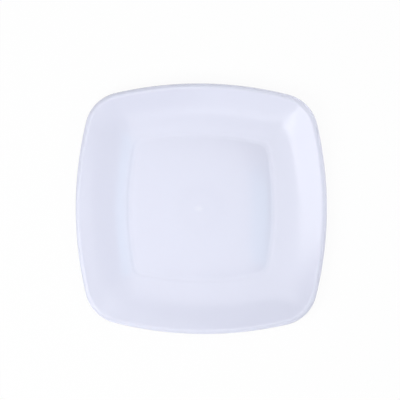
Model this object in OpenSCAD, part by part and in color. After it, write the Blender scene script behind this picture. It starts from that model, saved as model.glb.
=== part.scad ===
// Square plate with bowed sides and round corners, moulded in one piece of white plastic.
// The origin is the middle of the base, on the plane that the plate stands on, with +Z up.
// The body is one lofted skin: a cross-section of rings, each a rounded square with bowed sides.

/* [Rim] */
// Width of the plate across the middle of two opposite sides
plate_w = 230; // [200:1:280]
// Height of the rim's crest above the table
plate_h = 15; // [12:0.5:24]
// Radius of each bowed side of the rim, seen from above
rim_side_r = 335; // [300:5:500]
// Radius of the rim's corners, seen from above
rim_corner_r = 36; // [24:1:44]
// Slope at which the wall reaches the lip, in degrees
rim_slope = 27; // [20:1:34]

/* [Lip] */
// Radius of the lip's rounded shoulder
lip_r = 3.5; // [2.6:0.1:5]
// Length of the lip's upright skirt below its shoulder
skirt_h = 1.2; // [0.5:0.1:3]

/* [Wall] */
// Thickness of the plastic
gauge = 1.6; // [1:0.1:2]
// Slope at which the wall leaves the panel's edge, in degrees
wall_slope = 4.5; // [3:0.5:12]
// Share of the wall's width that holds it near its slope at the panel's edge
cove_share = 0.3; // [0.25:0.01:0.45]
// Share of the wall's width that holds it near its slope at the lip
shoulder_share = 0.3; // [0.2:0.01:0.35]

/* [Panel] */
// Width of the panel across the middle of two opposite sides, out to its edge line
panel_w = 138; // [120:1:146]
// Radius of each bowed side of the panel, seen from above
panel_side_r = 280; // [230:5:400]
// Radius of the panel's corners, seen from above
panel_corner_r = 8.5; // [5:0.5:16]
// Height of the small step that draws the panel's edge line
step_h = 0.5; // [0.3:0.1:0.8]
// Width of that step
step_w = 3; // [1.5:0.1:4]

/* [Crown] */
// Height that the middle of the panel stands above its margin
crown_h = 1.6; // [1.2:0.1:3]
// Width of the level middle of the panel
crown_w = 76; // [60:1:90]
// Radius of the level middle's corners, seen from above
crown_corner_r = 20; // [10:1:28]
// Slope at which the crown comes down to the foot ring, in degrees
crown_slope = 8; // [5:0.5:13]
// Share of the crown's fall that holds it near its slope at either end
crown_share = 0.33; // [0.25:0.01:0.45]
// Width of the flat ring that the plate stands on
foot_w = 2; // [1.5:0.1:4]

/* [Gate] */
// Diameter of the low broad swelling round the moulding gate
swell_d = 50; // [30:1:56]
// Height of that swelling
swell_h = 0.4; // [0.2:0.05:0.6]
// Diameter of the small round nub over the gate itself
gate_d = 9; // [5:0.5:14]
// Height of that nub
gate_h = 0.2; // [0.1:0.05:0.4]
// Diameter of the trimmed gate stub under the panel
stub_d = 2.4; // [1.5:0.1:4]
// Height of the gate stub, less than the panel's recess
stub_h = 0.5; // [0.3:0.1:0.6]

/* [Fineness] */
// Straight steps that each bowed side is drawn with
side_steps = 12; // [8:2:16]
// Straight steps that each corner is drawn with
corner_steps = 7; // [5:1:9]
// Steps across the upper face of the wall
wall_steps = 11; // [8:1:14]

/* [Hidden] */

plate_colour = [0.93, 0.94, 0.99];
rim_half = plate_w / 2;
panel_half = panel_w / 2;
crown_half = crown_w / 2;
step_in = panel_half - step_w;
foot_in = step_in - foot_w;
swell_r = swell_d / 2;
gate_r = gate_d / 2;
floor_z = gauge;
crown_z = floor_z + crown_h;
wall_z = floor_z + step_h;
lip_centre = [rim_half - lip_r, plate_h - lip_r];
skirt_z = lip_centre[1] - skirt_h;
lip_turn = 90 + rim_slope;
crown_steps = 7;
step_steps = 4;
lip_steps = 5;
end_steps = 3;
hollow_steps = 3;
underside_steps = 8;
gate_steps = 3;
swell_steps = 6;
dome_fn = 96;
// Depth that a feature on a face runs into the plastic, so that the two are one solid
root_share = 0.5;
root_h = gauge * root_share;

function mix(a, b, t) = a + (b - a) * t;

// Goes from 0 to 1 with a level start and a level end
function ease(t) = (1 - cos(180 * t)) / 2;

// Height of a low dome, level on top and at its foot, at a distance from its middle
function low_dome(distance, radius, height) = height * (1 - ease(min(distance / radius, 1)));

// A point of a cubic curve, and its direction there
function cubic(p, t) =
    p[0] * pow(1 - t, 3)
    + p[1] * 3 * t * pow(1 - t, 2)
    + p[2] * 3 * t * t * (1 - t)
    + p[3] * pow(t, 3);
function cubic_run(p, t) =
    (p[1] - p[0]) * pow(1 - t, 2)
    + (p[2] - p[1]) * 2 * t * (1 - t)
    + (p[3] - p[2]) * t * t;

// The point one gauge below a curve's point, square to the curve
function below(point, run) = point - gauge * [-run[1], run[0]] / norm(run);

function arc_point(centre, r, a) = centre + r * [cos(a), sin(a)];

// The four points of a cubic curve that leaves its start and meets its end at the slopes given
function sloped_curve(start, start_slope, start_share, end, end_slope, end_share) =
    let (run = end[0] - start[0])
    [
        start,
        start + run * start_share * [1, tan(start_slope)],
        end - run * end_share * [1, tan(end_slope)],
        end
    ];

// The wall's upper face, growing steeper from the panel's edge to the lip
wall_curve = sloped_curve(
    [panel_half, wall_z], wall_slope, cove_share,
    arc_point(lip_centre, lip_r, lip_turn), rim_slope, shoulder_share
);

// The crown's fall, level at the middle and steepest at the foot ring
crown_curve = sloped_curve(
    [crown_half, crown_h], 0, crown_share,
    [foot_in, 0], -crown_slope, crown_share
);

// The cross-section's pieces, each a list of [half width, height], from the middle outwards
crown_profile = [for (i = [0 : crown_steps]) cubic(crown_curve, i / crown_steps)];
step_profile = [
    for (i = [0 : step_steps])
        [mix(step_in, panel_half, i / step_steps), step_h * pow(i / step_steps, 2)]
];
wall_over = [for (i = [1 : wall_steps]) cubic(wall_curve, i / wall_steps)];
wall_under = [
    for (i = [1 : underside_steps])
        below(cubic(wall_curve, i / underside_steps), cubic_run(wall_curve, i / underside_steps))
];
lip_over = [
    for (i = [0 : lip_steps]) arc_point(lip_centre, lip_r, 90 * (1 - i / lip_steps))
];
lip_end = [
    for (i = [0 : end_steps])
        arc_point([rim_half - gauge / 2, skirt_z], gauge / 2, -180 * i / end_steps)
];
lip_under = [
    for (i = [0 : hollow_steps - 1])
        arc_point(lip_centre, lip_r - gauge, lip_turn * i / hollow_steps)
];

function raised(profile, z) = [for (p = profile) p + [0, z]];
function backwards(profile) = [for (i = [len(profile) - 1 : -1 : 0]) profile[i]];

// The whole cross-section, over the top, round the lip and back along the underside
section = concat(
    raised(crown_profile, floor_z),
    raised(step_profile, floor_z),
    wall_over,
    lip_over,
    lip_end,
    lip_under,
    backwards(wall_under),
    backwards(step_profile),
    backwards(crown_profile)
);

// How far out a ring lies: 0 on the panel's edge line, 1 on the rim
function wall_part(half) = (half - panel_half) / (rim_half - panel_half);
// How far out a ring lies: 0 at the level middle's edge, 1 on the panel's edge line
function panel_part(half) = (half - crown_half) / (panel_half - crown_half);

function ring_side_r(half) =
    half < panel_half
    ? panel_side_r * half / panel_half
    : mix(panel_side_r, rim_side_r, wall_part(half));
function ring_corner_r(half) =
    half < panel_half
    ? mix(crown_corner_r, panel_corner_r, panel_part(half))
    : mix(panel_corner_r, rim_corner_r, wall_part(half));

// Distance of a corner arc's centre from the middle lines, so that it meets both side arcs smoothly
function corner_place(offset, reach) = (offset + sqrt(2 * reach * reach - offset * offset)) / 2;

// One quarter of a ring: a bowed side and the corner after it
function quarter(half, side_r, corner_r) =
    let (
        offset = half - side_r,
        place = corner_place(offset, side_r - corner_r),
        turn = atan2(place, place - offset)
    )
    concat(
        [
            for (i = [0 : side_steps - 1])
                arc_point([offset, 0], side_r, turn * (2 * i / side_steps - 1))
        ],
        [
            for (i = [0 : corner_steps - 1])
                arc_point([place, place], corner_r, mix(turn, 90 - turn, i / corner_steps))
        ]
    );

function turned(p, a) = [p[0] * cos(a) - p[1] * sin(a), p[0] * sin(a) + p[1] * cos(a)];

// A whole ring at a height, anticlockwise from the start of the +X side
function ring(half, z) =
    let (part = quarter(half, ring_side_r(half), ring_corner_r(half)))
    [
        for (q = [0 : 3])
            for (p = part)
                let (xy = turned(p, 90 * q))
                [xy[0], xy[1], z]
    ];

stations = 4 * (side_steps + corner_steps);
rings = len(section);

module moulded_body() {
    points = [for (p = section) each ring(p[0], p[1])];
    skin = [
        for (r = [0 : rings - 2])
            for (s = [0 : stations - 1])
                let (
                    a = r * stations + s,
                    b = r * stations + (s + 1) % stations,
                    c = a + stations,
                    d = b + stations
                )
                each [[a, b, d], [a, d, c]]
    ];
    top = [for (s = [stations - 1 : -1 : 0]) s];
    base = [for (s = [0 : stations - 1]) (rings - 1) * stations + s];
    polyhedron(points = points, faces = concat(skin, [top, base]));
}

// Low broad swelling in the middle of the panel, with a small nub over the moulding gate
module gate_swelling() {
    distances = concat(
        [for (i = [0 : gate_steps]) gate_r * i / gate_steps],
        [for (i = [1 : swell_steps]) mix(gate_r, swell_r, i / swell_steps)]
    );
    dome = [
        for (x = distances)
            [x, low_dome(x, gate_r, gate_h) + low_dome(x, swell_r, swell_h)]
    ];
    translate([0, 0, crown_z])
        rotate_extrude($fn = dome_fn)
            polygon(concat([[0, -root_h]], dome, [[swell_r, -root_h]]));
}

// Trimmed stub of the gate in the recess under the panel, clear of the table
module gate_stub() {
    translate([0, 0, crown_h - stub_h])
        cylinder(d = stub_d, h = stub_h + root_h, $fn = dome_fn);
}

module plate() {
    color(plate_colour)
        union() {
            moulded_body();
            gate_swelling();
            gate_stub();
        }
}

plate();
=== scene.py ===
import math

import bmesh
import bpy
from mathutils import Matrix, Vector


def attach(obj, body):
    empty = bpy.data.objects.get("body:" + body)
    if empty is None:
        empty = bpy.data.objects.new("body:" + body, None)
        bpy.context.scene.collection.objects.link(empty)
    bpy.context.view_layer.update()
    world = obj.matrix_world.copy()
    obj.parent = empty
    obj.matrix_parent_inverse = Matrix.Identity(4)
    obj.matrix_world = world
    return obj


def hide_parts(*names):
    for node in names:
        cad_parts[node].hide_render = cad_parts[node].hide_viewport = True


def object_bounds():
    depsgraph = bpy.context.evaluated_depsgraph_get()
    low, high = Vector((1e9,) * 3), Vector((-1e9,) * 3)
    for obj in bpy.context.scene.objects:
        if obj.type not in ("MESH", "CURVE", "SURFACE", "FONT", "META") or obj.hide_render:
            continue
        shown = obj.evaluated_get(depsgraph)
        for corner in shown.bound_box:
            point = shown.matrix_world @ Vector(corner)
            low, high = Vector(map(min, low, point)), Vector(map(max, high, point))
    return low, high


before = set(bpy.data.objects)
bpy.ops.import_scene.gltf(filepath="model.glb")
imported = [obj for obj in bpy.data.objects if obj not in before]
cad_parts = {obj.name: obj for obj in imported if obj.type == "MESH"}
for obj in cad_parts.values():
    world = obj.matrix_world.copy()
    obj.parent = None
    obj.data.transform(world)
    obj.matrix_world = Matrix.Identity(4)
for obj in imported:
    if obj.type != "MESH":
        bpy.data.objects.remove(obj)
cad_low, cad_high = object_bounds()

MM = 0.001

# Sizes of the plate, in metres; the overall ones come from the CAD parts in model.glb
plate_w = cad_high.x - cad_low.x
plate_h = cad_high.z - cad_low.z
rim_half = plate_w / 2
rim_side_r = 335 * MM
rim_corner_r = 36 * MM
rim_slope = math.radians(27)
lip_r = 3.5 * MM
skirt_h = 1.2 * MM
gauge = 1.6 * MM
wall_slope = math.radians(4.5)
cove_share = 0.3
shoulder_share = 0.3
panel_half = 69 * MM
panel_side_r = 280 * MM
panel_corner_r = 8.5 * MM
step_h = 0.5 * MM
step_w = 3 * MM
crown_h = 1.6 * MM
crown_half = 38 * MM
crown_corner_r = 20 * MM
crown_slope = math.radians(8)
crown_share = 0.33
foot_w = 2 * MM
swell_r = 25 * MM
swell_h = 0.4 * MM
gate_r = 4.5 * MM
gate_h = 0.2 * MM
stub_r = 1.2 * MM
stub_h = 0.5 * MM

# Places that follow from those sizes
step_in = panel_half - step_w
foot_in = step_in - foot_w
crown_z = gauge + crown_h
wall_z = gauge + step_h
lip_centre = Vector((rim_half - lip_r, plate_h - lip_r))
skirt_z = lip_centre.y - skirt_h
lip_turn = math.radians(90) + rim_slope

# How many steps each ring has along a side and round a corner
side_steps = 48
corner_steps = 22
# How many steps each stretch of the cross-section has
nub_steps = 10
swelling_steps = 16
level_steps = 6
crown_steps = 24
margin_steps = 4
step_steps = 10
wall_steps = 44
lip_steps = 14
end_steps = 8
hollow_steps = 8
underside_steps = 24
recess_shares = (0.9, 0.5, 0.1)
stub_shares = (1, 0.9, 0.4)


def mix(a, b, t):
    return a + (b - a) * t


def ease(t):
    """From 0 to 1 with a level start and a level end."""
    return (1 - math.cos(math.pi * t)) / 2


def low_dome(distance, radius, height):
    """Height of a low dome, level on top and at its foot, at a distance from its middle."""
    return height * (1 - ease(min(distance / radius, 1)))


def arc_point(centre, radius, angle):
    return Vector((centre[0] + radius * math.cos(angle), centre[1] + radius * math.sin(angle)))


def shares(steps, start=0):
    return [i / steps for i in range(start, steps + 1)]


def sloped_curve(start, start_slope, start_share, end, end_slope, end_share):
    """Four points of a smooth curve that leaves its start and meets its end at the slopes given."""
    run = end[0] - start[0]
    leave = run * start_share * Vector((1, math.tan(start_slope)))
    arrive = run * end_share * Vector((1, math.tan(end_slope)))
    return start, start + leave, end - arrive, end


# The wall's curve grows steeper from the panel's edge to the lip, and the crown's down to the foot
wall_start = Vector((panel_half, wall_z))
wall_end = arc_point(lip_centre, lip_r, lip_turn)
wall_curve = sloped_curve(wall_start, wall_slope, cove_share, wall_end, rim_slope, shoulder_share)
crown_start = Vector((crown_half, crown_h))
crown_end = Vector((foot_in, 0))
crown_curve = sloped_curve(crown_start, 0, crown_share, crown_end, -crown_slope, crown_share)


def curve_point(curve, t, depth=0):
    """A point of a curve, or one that lies a depth under it, square to the curve."""
    a, b, c, d = curve
    point = a * (1 - t) ** 3 + b * 3 * t * (1 - t) ** 2 + c * 3 * t * t * (1 - t) + d * t ** 3
    run = (b - a) * (1 - t) ** 2 + (c - b) * 2 * t * (1 - t) + (d - c) * t * t
    return point - depth * Vector((-run.y, run.x)).normalized()


def cross_section():
    """(Half width, height) from the top's centre, over the lip and back to the underside's centre."""
    nub = [gate_r * t for t in shares(nub_steps, 1)]
    round_nub = [mix(gate_r, swell_r, t) for t in shares(swelling_steps, 1)]
    swelling = [
        (x, crown_z + low_dome(x, gate_r, gate_h) + low_dome(x, swell_r, swell_h))
        for x in nub + round_nub
    ]
    level = [(mix(swell_r, crown_half, t), crown_z) for t in shares(level_steps, 1)[:-1]]
    crown = [curve_point(crown_curve, t) for t in shares(crown_steps)]
    margin = [(mix(foot_in, step_in, t), 0) for t in shares(margin_steps, 1)[:-1]]
    step = [(mix(step_in, panel_half, t), step_h * t * t) for t in shares(step_steps)]
    panel = [(x, z + gauge) for x, z in crown + margin + step]
    wall = [curve_point(wall_curve, t) for t in shares(wall_steps, 1)]
    lip = [arc_point(lip_centre, lip_r, mix(lip_turn, 0, t)) for t in shares(lip_steps, 1)]
    end_centre = (rim_half - gauge / 2, skirt_z)
    end = [arc_point(end_centre, gauge / 2, -math.pi * t) for t in shares(end_steps)]
    hollow = [arc_point(lip_centre, lip_r - gauge, lip_turn * t) for t in shares(hollow_steps)]
    under_wall = [curve_point(wall_curve, 1 - t, gauge) for t in shares(underside_steps, 1)]
    underside = list(reversed(crown + margin + step))[1:]
    recess = [(mix(stub_r, crown_half, t), crown_h) for t in recess_shares]
    stub = [(stub_r, crown_h)] + [(stub_r * share, crown_h - stub_h) for share in stub_shares]
    return swelling + level + panel + wall + lip + end + hollow + under_wall + underside + recess + stub


def squared_ring(half, side_r, corner_r):
    """A rounded square with bowed sides, as points from the start of the +X side."""
    offset = half - side_r
    reach = side_r - corner_r
    place = (offset + math.sqrt(2 * reach * reach - offset * offset)) / 2
    turn = math.atan2(place, place - offset)
    quarter = [
        arc_point((offset, 0), side_r, turn * (2 * i / side_steps - 1)) for i in range(side_steps)
    ]
    quarter += [
        arc_point((place, place), corner_r, mix(turn, math.pi / 2 - turn, i / corner_steps))
        for i in range(corner_steps)
    ]
    turns = [Matrix.Rotation(math.pi / 2 * q, 2) for q in range(4)]
    return [turned @ point for turned in turns for point in quarter]


def ring_outline(half):
    """The plate's outline at a distance from its middle, from round at the gate to bowed at the rim."""
    if half < crown_half:
        squared = squared_ring(crown_half, panel_side_r * crown_half / panel_half, crown_corner_r)
        squareness = max(0, (half - swell_r) / (crown_half - swell_r))
        return [
            mix(point.normalized() * half, point * half / crown_half, squareness) for point in squared
        ]
    if half < panel_half:
        t = (half - crown_half) / (panel_half - crown_half)
        return squared_ring(
            half, panel_side_r * half / panel_half, mix(crown_corner_r, panel_corner_r, t)
        )
    t = (half - panel_half) / (rim_half - panel_half)
    return squared_ring(
        half, mix(panel_side_r, rim_side_r, t), mix(panel_corner_r, rim_corner_r, t)
    )


def nothing_selected():
    for thing in bpy.context.selected_objects:
        thing.select_set(False)


def mould_plate():
    """A small circle at the gate, extruded ring by ring over the top, round the lip and back below."""
    section = cross_section()
    nothing_selected()
    stations = 4 * (side_steps + corner_steps)
    bpy.ops.mesh.primitive_circle_add(vertices=stations, radius=section[0][0])
    plate = bpy.context.object
    plate.name = "moulded_plate"
    bpy.ops.object.mode_set(mode="EDIT")
    bpy.ops.mesh.select_mode(type="EDGE")
    mesh = bmesh.from_edit_mesh(plate.data)
    station = mesh.verts.layers.int.new("station")
    mesh.verts.ensure_lookup_table()
    for i, vert in enumerate(mesh.verts):
        vert[station] = i
    for number, (half, height) in enumerate(section):
        if number:
            bpy.ops.mesh.extrude_edges_move()
            mesh = bmesh.from_edit_mesh(plate.data)
            station = mesh.verts.layers.int["station"]
        outline = ring_outline(half)
        for vert in mesh.verts:
            if vert.select:
                vert.co = (*outline[vert[station]], height)
        bmesh.update_edit_mesh(plate.data)
    bpy.ops.mesh.select_all(action="DESELECT")
    bpy.ops.mesh.select_non_manifold()
    bpy.ops.mesh.edge_face_add()
    bpy.ops.mesh.select_all(action="SELECT")
    bpy.ops.mesh.normals_make_consistent(inside=False)
    bpy.ops.object.mode_set(mode="OBJECT")
    bpy.ops.object.shade_smooth()
    return plate


# Finish of the plastic: cool white with a satin gloss
plastic_colour = (0.793, 0.805, 0.94, 1)
blush_colour = (0.773, 0.786, 0.923, 1)
worn_colour = (0.803, 0.815, 0.935, 1)
# Lighter colour of the painted highlight on the gate nub's left flank, where the light falls
painted_highlight_colour = (0.831, 0.841, 0.961, 1)
plastic_ior = 1.49
plastic_roughness = 0.13
# Flow of the plastic out of the gate
fan_r = 20 * MM
streak_size = 4 * MM
streak_draw = 0.12
streak_band = (0.35, 0.7)
blush_in = 12 * MM
blush_mid = 20 * MM
blush_out = 29 * MM
blush_cloud_size = 14 * MM
blush_wander = 6 * MM
# Painted highlight: a lighter spot on the gate nub's left flank, where the light falls on it
painted_highlight_place = (-1.6 * MM, -0.5 * MM, 0)
painted_highlight_stretch = 1.5
painted_highlight_r = 4.2 * MM
# Skin of the moulding
wave_size = 22 * MM
peel_size = 1.2 * MM
peel_detail = 3
# Marks of handling
scuff_turns = (0.3, 1.25, 2.4)
scuff_stretch = 34
scuff_size = 0.35 * MM
scuff_detail = 1
scuff_band = (0.62, 0.7)
scuff_cloud_size = 30 * MM
scuff_cloud_band = (0.4, 0.65)
scuff_roughness = 0.08
rub_size = 5 * MM
rub_detail = 4
rub_band = (0.42, 0.62)
crest_rub = 0.4 * MM
foot_rub = 0.15 * MM
rub_roughness = 0.1
rub_fading = 0.6
gloss_cloud_size = 9 * MM
gloss_cloud_detail = 3
gloss_change = 0.04


def new_group(name, inputs, outputs):
    """An empty shader node group with number, vector or colour sockets; inputs carry their values."""
    group = bpy.data.node_groups.new(name, "ShaderNodeTree")
    for label, value in inputs.items():
        kind = "NodeSocketFloat"
        if isinstance(value, tuple):
            kind = "NodeSocketColor" if len(value) == 4 else "NodeSocketVector"
        socket = group.interface.new_socket(label, in_out="INPUT", socket_type=kind)
        socket.default_value = value
    for label, kind in outputs.items():
        group.interface.new_socket(label, in_out="OUTPUT", socket_type=kind)
    return group, group.nodes.new("NodeGroupInput"), group.nodes.new("NodeGroupOutput")


def maths(tree, operation, first, second=0.0, third=None):
    """A maths node fed by sockets or by plain numbers; gives its result."""
    node = tree.nodes.new("ShaderNodeMath")
    node.operation = operation
    for place, value in enumerate((first, second, third)):
        if value is None:
            continue
        if isinstance(value, (int, float)):
            node.inputs[place].default_value = value
        else:
            tree.links.new(value, node.inputs[place])
    return node.outputs[0]


def ramp(tree, value, start, end, low=0.0, high=1.0):
    """Goes smoothly from low to high while the value goes from start to end."""
    node = tree.nodes.new("ShaderNodeMapRange")
    node.interpolation_type = "SMOOTHSTEP"
    tree.links.new(value, node.inputs["Value"])
    node.inputs["From Min"].default_value = start
    node.inputs["From Max"].default_value = end
    node.inputs["To Min"].default_value = low
    node.inputs["To Max"].default_value = high
    return node.outputs[0]


def noise(tree, vector, size, detail=2.0, roughness=0.5):
    """Cloudy noise whose patches are about as wide as the size given, in metres."""
    node = tree.nodes.new("ShaderNodeTexNoise")
    tree.links.new(vector, node.inputs["Vector"])
    node.inputs["Scale"].default_value = 1 / size
    node.inputs["Detail"].default_value = detail
    node.inputs["Roughness"].default_value = roughness
    return node.outputs["Fac"]


def stretched(tree, vector, turn, stretch):
    """Coordinates turned about Z and drawn out along their own X."""
    node = tree.nodes.new("ShaderNodeMapping")
    node.vector_type = "TEXTURE"
    tree.links.new(vector, node.inputs["Vector"])
    node.inputs["Rotation"].default_value = (0, 0, turn)
    node.inputs["Scale"].default_value = (stretch, 1, 1)
    return node.outputs[0]


def mixed_colour(tree, share, first, second):
    node = tree.nodes.new("ShaderNodeMix")
    node.data_type = "RGBA"
    tree.links.new(share, node.inputs["Factor"])
    for socket, colour in ((node.inputs["A"], first), (node.inputs["B"], second)):
        if isinstance(colour, tuple):
            socket.default_value = colour
        else:
            tree.links.new(colour, socket)
    return node.outputs["Result"]


def moulding_flow_and_painted_highlight():
    """Streaks that fan out from the gate, a faint blush round it and a painted highlight on the gate
    nub's lit left flank.
    """
    tree, given, result = new_group(
        "moulding_flow_and_painted_highlight",
        {"Place": (0, 0, 0), "Streaks": 0.12, "Blush": 0.3},
        {"Share": "NodeSocketFloat", "Painted highlight": "NodeSocketFloat"},
    )
    flat = tree.nodes.new("ShaderNodeVectorMath")
    flat.operation = "MULTIPLY"
    flat.inputs[1].default_value = (1, 1, 0)
    tree.links.new(given.outputs["Place"], flat.inputs[0])
    reach = tree.nodes.new("ShaderNodeVectorMath")
    reach.operation = "LENGTH"
    tree.links.new(flat.outputs[0], reach.inputs[0])
    distance = reach.outputs["Value"]
    heading = tree.nodes.new("ShaderNodeVectorMath")
    heading.operation = "NORMALIZE"
    tree.links.new(flat.outputs[0], heading.inputs[0])
    round_gate = tree.nodes.new("ShaderNodeVectorMath")
    round_gate.operation = "SCALE"
    round_gate.inputs["Scale"].default_value = fan_r
    tree.links.new(heading.outputs[0], round_gate.inputs[0])
    outward = tree.nodes.new("ShaderNodeCombineXYZ")
    tree.links.new(maths(tree, "MULTIPLY", distance, streak_draw), outward.inputs["Z"])
    fan = tree.nodes.new("ShaderNodeVectorMath")
    tree.links.new(round_gate.outputs[0], fan.inputs[0])
    tree.links.new(outward.outputs[0], fan.inputs[1])
    streaks = ramp(tree, noise(tree, fan.outputs[0], streak_size), *streak_band)
    clouds = noise(tree, given.outputs["Place"], blush_cloud_size)
    wander = maths(tree, "MULTIPLY_ADD", clouds, blush_wander, distance)
    rise = ramp(tree, wander, blush_in, blush_mid)
    fall = ramp(tree, wander, blush_mid, blush_out, 1, 0)
    blush = maths(tree, "MULTIPLY", rise, fall)
    streaked = maths(tree, "MULTIPLY", streaks, given.outputs["Streaks"])
    share = maths(tree, "MULTIPLY_ADD", blush, given.outputs["Blush"], streaked)
    tree.links.new(share, result.inputs["Share"])
    # Painted highlight: a lighter spot on the gate nub's left flank, which faces the light
    aside = tree.nodes.new("ShaderNodeVectorMath")
    aside.operation = "DISTANCE"
    tree.links.new(stretched(tree, flat.outputs[0], 0, painted_highlight_stretch), aside.inputs[0])
    aside.inputs[1].default_value = painted_highlight_place
    painted_highlight = ramp(tree, aside.outputs["Value"], 0, painted_highlight_r, 1, 0)
    tree.links.new(painted_highlight, result.inputs["Painted highlight"])
    return tree


def moulded_skin():
    """Height of the skin in millimetres: broad sink waves under a fine orange peel."""
    tree, given, result = new_group(
        "moulded_skin",
        {"Place": (0, 0, 0), "Waves": 0.02, "Peel": 0.002},
        {"Height": "NodeSocketFloat"},
    )
    waves = noise(tree, given.outputs["Place"], wave_size)
    peel = noise(tree, given.outputs["Place"], peel_size, peel_detail)
    wave_height = maths(tree, "MULTIPLY", waves, given.outputs["Waves"])
    height = maths(tree, "MULTIPLY_ADD", peel, given.outputs["Peel"], wave_height)
    tree.links.new(height, result.inputs["Height"])
    return tree


def handling_marks():
    """Hairline scuffs from wiping and stacking, and rubbed patches on the lip's crest and foot ring."""
    tree, given, result = new_group(
        "handling_marks",
        {"Place": (0, 0, 0), "Crest height": plate_h},
        {"Scuffs": "NodeSocketFloat", "Rubbed": "NodeSocketFloat"},
    )
    place = given.outputs["Place"]
    scuffs = 0.0
    for turn in scuff_turns:
        drawn_out = stretched(tree, place, turn, scuff_stretch)
        hairs = ramp(tree, noise(tree, drawn_out, scuff_size, scuff_detail), *scuff_band)
        scuffs = maths(tree, "ADD", hairs, scuffs)
    patches = ramp(tree, noise(tree, place, rub_size, rub_detail), *rub_band)
    where = tree.nodes.new("ShaderNodeSeparateXYZ")
    tree.links.new(place, where.inputs[0])
    under_crest = maths(tree, "SUBTRACT", given.outputs["Crest height"], where.outputs["Z"])
    crest = ramp(tree, under_crest, 0, crest_rub, 1, 0)
    foot = ramp(tree, where.outputs["Z"], 0, foot_rub, 1, 0)
    rubbed = maths(tree, "MULTIPLY", maths(tree, "MAXIMUM", crest, foot), patches)
    scuff_clouds = ramp(tree, noise(tree, place, scuff_cloud_size), *scuff_cloud_band)
    scuffed = maths(tree, "MULTIPLY", scuffs, scuff_clouds)
    tree.links.new(scuffed, result.inputs["Scuffs"])
    tree.links.new(rubbed, result.inputs["Rubbed"])
    return tree


def white_plastic():
    """Cool white, satin gloss plastic, with the marks of its moulding and of light use, and a painted
    highlight on the gate nub.
    """
    material = bpy.data.materials.new("white_plastic")
    material.use_nodes = True
    tree = material.node_tree
    shader = tree.nodes["Principled BSDF"]
    shader.inputs["IOR"].default_value = plastic_ior
    place = tree.nodes.new("ShaderNodeTexCoord").outputs["Object"]
    groups = {}
    for group in (moulding_flow_and_painted_highlight(), moulded_skin(), handling_marks()):
        node = tree.nodes.new("ShaderNodeGroup")
        node.node_tree = group
        tree.links.new(place, node.inputs["Place"])
        groups[group.name] = node
    flow_and_painted_highlight, skin, marks = groups.values()
    body = mixed_colour(tree, flow_and_painted_highlight.outputs["Share"], plastic_colour, blush_colour)
    # Painted highlight over the gate nub's left flank, where the light falls
    body = mixed_colour(tree, flow_and_painted_highlight.outputs["Painted highlight"], body, painted_highlight_colour)
    rubbed = maths(tree, "MULTIPLY", marks.outputs["Rubbed"], rub_fading)
    tree.links.new(mixed_colour(tree, rubbed, body, worn_colour), shader.inputs["Base Color"])
    rough = maths(tree, "MULTIPLY_ADD", marks.outputs["Scuffs"], scuff_roughness, plastic_roughness)
    rough = maths(tree, "MULTIPLY_ADD", marks.outputs["Rubbed"], rub_roughness, rough)
    clouds = noise(tree, place, gloss_cloud_size, gloss_cloud_detail)
    cloudy = maths(tree, "SUBTRACT", clouds, 0.5)
    rough = maths(tree, "MULTIPLY_ADD", cloudy, gloss_change, rough)
    tree.links.new(rough, shader.inputs["Roughness"])
    bump = tree.nodes.new("ShaderNodeBump")
    bump.inputs["Distance"].default_value = MM
    tree.links.new(skin.outputs["Height"], bump.inputs["Height"])
    tree.links.new(bump.outputs["Normal"], shader.inputs["Normal"])
    return material


plate = mould_plate()
plate.data.materials.append(white_plastic())
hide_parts("plate")
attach(plate, "root")

# Floor
nothing_selected()
floor_size = 20 * plate_w
bpy.ops.mesh.primitive_plane_add(size=floor_size)
floor = bpy.context.object
floor.name = "floor"


# Share of the floor's look that is plain white; the rest takes light and keeps the shadow
glow_share = 0.94
floor_colour = (0.95, 0.95, 0.95, 1)


def floor_material():
    """Pale paper, lit from above, white to the eye and open from below."""
    material = bpy.data.materials.new("pale_floor")
    material.use_nodes = True
    nodes, links = material.node_tree.nodes, material.node_tree.links
    nodes.clear()
    output = nodes.new("ShaderNodeOutputMaterial")
    paint = nodes.new("ShaderNodeBsdfDiffuse")
    paint.inputs["Color"].default_value = floor_colour
    glow = nodes.new("ShaderNodeEmission")
    glow.inputs["Strength"].default_value = 1
    path = nodes.new("ShaderNodeLightPath")
    blend = nodes.new("ShaderNodeMixShader")
    share = nodes.new("ShaderNodeMath")
    share.operation = "MULTIPLY"
    share.inputs[1].default_value = glow_share
    seen = nodes.new("ShaderNodeMath")
    seen.use_clamp = True
    links.new(path.outputs["Is Camera Ray"], seen.inputs[0])
    links.new(path.outputs["Is Glossy Ray"], seen.inputs[1])
    seen_through = nodes.new("ShaderNodeMath")
    seen_through.use_clamp = True
    links.new(seen.outputs[0], seen_through.inputs[0])
    links.new(path.outputs["Is Transmission Ray"], seen_through.inputs[1])
    links.new(seen_through.outputs[0], share.inputs[0])
    links.new(share.outputs[0], blend.inputs["Fac"])
    links.new(paint.outputs[0], blend.inputs[1])
    links.new(glow.outputs[0], blend.inputs[2])
    side = nodes.new("ShaderNodeNewGeometry")
    clear = nodes.new("ShaderNodeBsdfTransparent")
    one_sided = nodes.new("ShaderNodeMixShader")
    links.new(side.outputs["Backfacing"], one_sided.inputs["Fac"])
    links.new(blend.outputs[0], one_sided.inputs[1])
    links.new(clear.outputs[0], one_sided.inputs[2])
    links.new(one_sided.outputs[0], output.inputs["Surface"])
    return material


floor.data.materials.append(floor_material())

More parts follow.
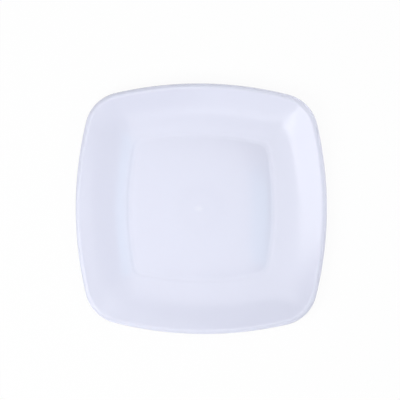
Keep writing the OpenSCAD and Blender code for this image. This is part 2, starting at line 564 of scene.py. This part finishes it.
# Camera, nearly straight above, leaning to the plate's right and back
lean_right = math.radians(3.45)
lean_back = math.radians(5.7)
camera_distance = 6.0
camera_reach = 20
sensor_width = 36
photo_px = 400
plate_px = 252.0
plate_centre_px = Vector((200.95, 209.4))
roll = math.radians(0.2)
camera_data = bpy.data.cameras.new("camera")
camera = bpy.data.objects.new("camera", camera_data)
bpy.context.scene.collection.objects.link(camera)
bpy.context.scene.camera = camera
m_per_px = plate_w / plate_px
camera_data.sensor_width = sensor_width
camera_data.lens = sensor_width * camera_distance / (photo_px * m_per_px)
off_centre = (plate_centre_px - Vector((photo_px / 2, photo_px / 2))) * m_per_px
aim = Vector((-off_centre.x, off_centre.y, plate_h))
back = Vector((math.tan(lean_right), math.tan(lean_back), 1)).normalized()
camera.location = aim + back * camera_distance
right = Vector((0, 1, 0)).cross(back).normalized()
up = back.cross(right)
view_axes = Matrix((right, up, back)).transposed()
camera.rotation_euler = (view_axes @ Matrix.Rotation(roll, 3, "Z")).to_euler()
camera_data.clip_end = camera_reach

# World and lamps
world_strength = 0.02
scene = bpy.context.scene
scene.view_settings.view_transform = "Standard"
world = bpy.data.worlds.new("studio")
scene.world = world
world.use_nodes = True
world.node_tree.nodes["Background"].inputs["Color"].default_value = (1, 1, 1, 1)
world.node_tree.nodes["Background"].inputs["Strength"].default_value = world_strength

# Light tent: soft even panels on its walls and roof, in shares of the tent's reach from the plate
tent_reach = 0.846
# Each wall panel: turn of the wall in degrees, left, right, low and high edge, watts
wall_panel_shares = {
    "softbox_left": (219.7, -0.74, -0.15, 0.61, 1.60, 5.42),
    "softbox_right": (219.7, -0.15, 0.26, 0.61, 1.60, 3.45),
    "back_right": (42.0, -1.19, 1.44, 0.80, 2.03, 8.18),
    "back_right_end": (38.4, -1.37, -1.01, 1.24, 1.99, 0.59),
    "front_right_high": (321.4, -0.44, 0.92, 0.81, 1.29, 0.69),
    "front_right_low": (329.7, -0.58, 0.79, 0.64, 0.86, 1.23),
    "front": (253.1, -0.38, 0.23, 0.71, 1.47, 1.48),
    "back_left": (119.5, -0.36, 0.35, 0.57, 0.87, 0.10),
    "front_left_strip": (219.5, -0.66, 0.59, 0.08, 0.20, 0.30),
    "low_right": (0, -0.41, 0.41, 0.02, 0.30, 0.79),
    "low_back_right": (45, -0.41, 0.41, 0.02, 0.30, 1.58),
    "low_front": (270, -0.41, 0.41, 0.02, 0.30, 0.79),
    "low_back": (90, -0.41, 0.41, 0.02, 0.30, 0.34),
    "low_back_left": (135, -0.41, 0.41, 0.02, 0.30, 0.20),
}
# Each roof panel: its turn in degrees, left, right, near and far edge, watts
roof_panel_shares = {
    "roof_left": (8.4, -0.70, 0.04, -0.40, 0.43, 2.44),
    "roof_right": (0.4, 0.04, 0.26, -0.27, -0.04, 0.22),
    "roof_front": (4.2, -0.73, 0.0, -0.79, -0.41, 0.74),
    "roof_back": (3.9, 0.01, 0.50, -0.02, 0.61, 0.39),
}
# The small roof panel on the right is sky blue, and all the others are white
panel_tints = {"roof_right": (0.4, 0.8, 1)}


def hang_lamp(name, place, wide, high, watts):
    data = bpy.data.lights.new(name, "AREA")
    data.shape = "RECTANGLE"
    data.size = wide
    data.size_y = high
    data.energy = watts
    data.color = panel_tints.get(name, (1, 1, 1))
    lamp = bpy.data.objects.new(name, data)
    scene.collection.objects.link(lamp)
    lamp.matrix_world = place


for name, (turn, left, right_edge, low, high, watts) in wall_panel_shares.items():
    outward = Matrix.Rotation(math.radians(turn), 3, "Z") @ Vector((1, 0, 0))
    upward = Vector((0, 0, 1))
    sideways = upward.cross(outward)
    facing = Matrix((sideways, upward, outward)).transposed().to_4x4()
    middle = outward + sideways * (left + right_edge) / 2 + upward * (low + high) / 2
    place = Matrix.Translation(middle * tent_reach) @ facing
    wide, tall = (right_edge - left) * tent_reach, (high - low) * tent_reach
    hang_lamp(name, place, wide, tall, watts)
for name, (turn, left, right_edge, near, far, watts) in roof_panel_shares.items():
    turned = Matrix.Rotation(math.radians(turn), 4, "Z")
    middle = Vector(((left + right_edge) / 2, (near + far) / 2, 1)) * tent_reach
    wide, deep = (right_edge - left) * tent_reach, (far - near) * tent_reach
    hang_lamp(name, turned @ Matrix.Translation(middle), wide, deep, watts)
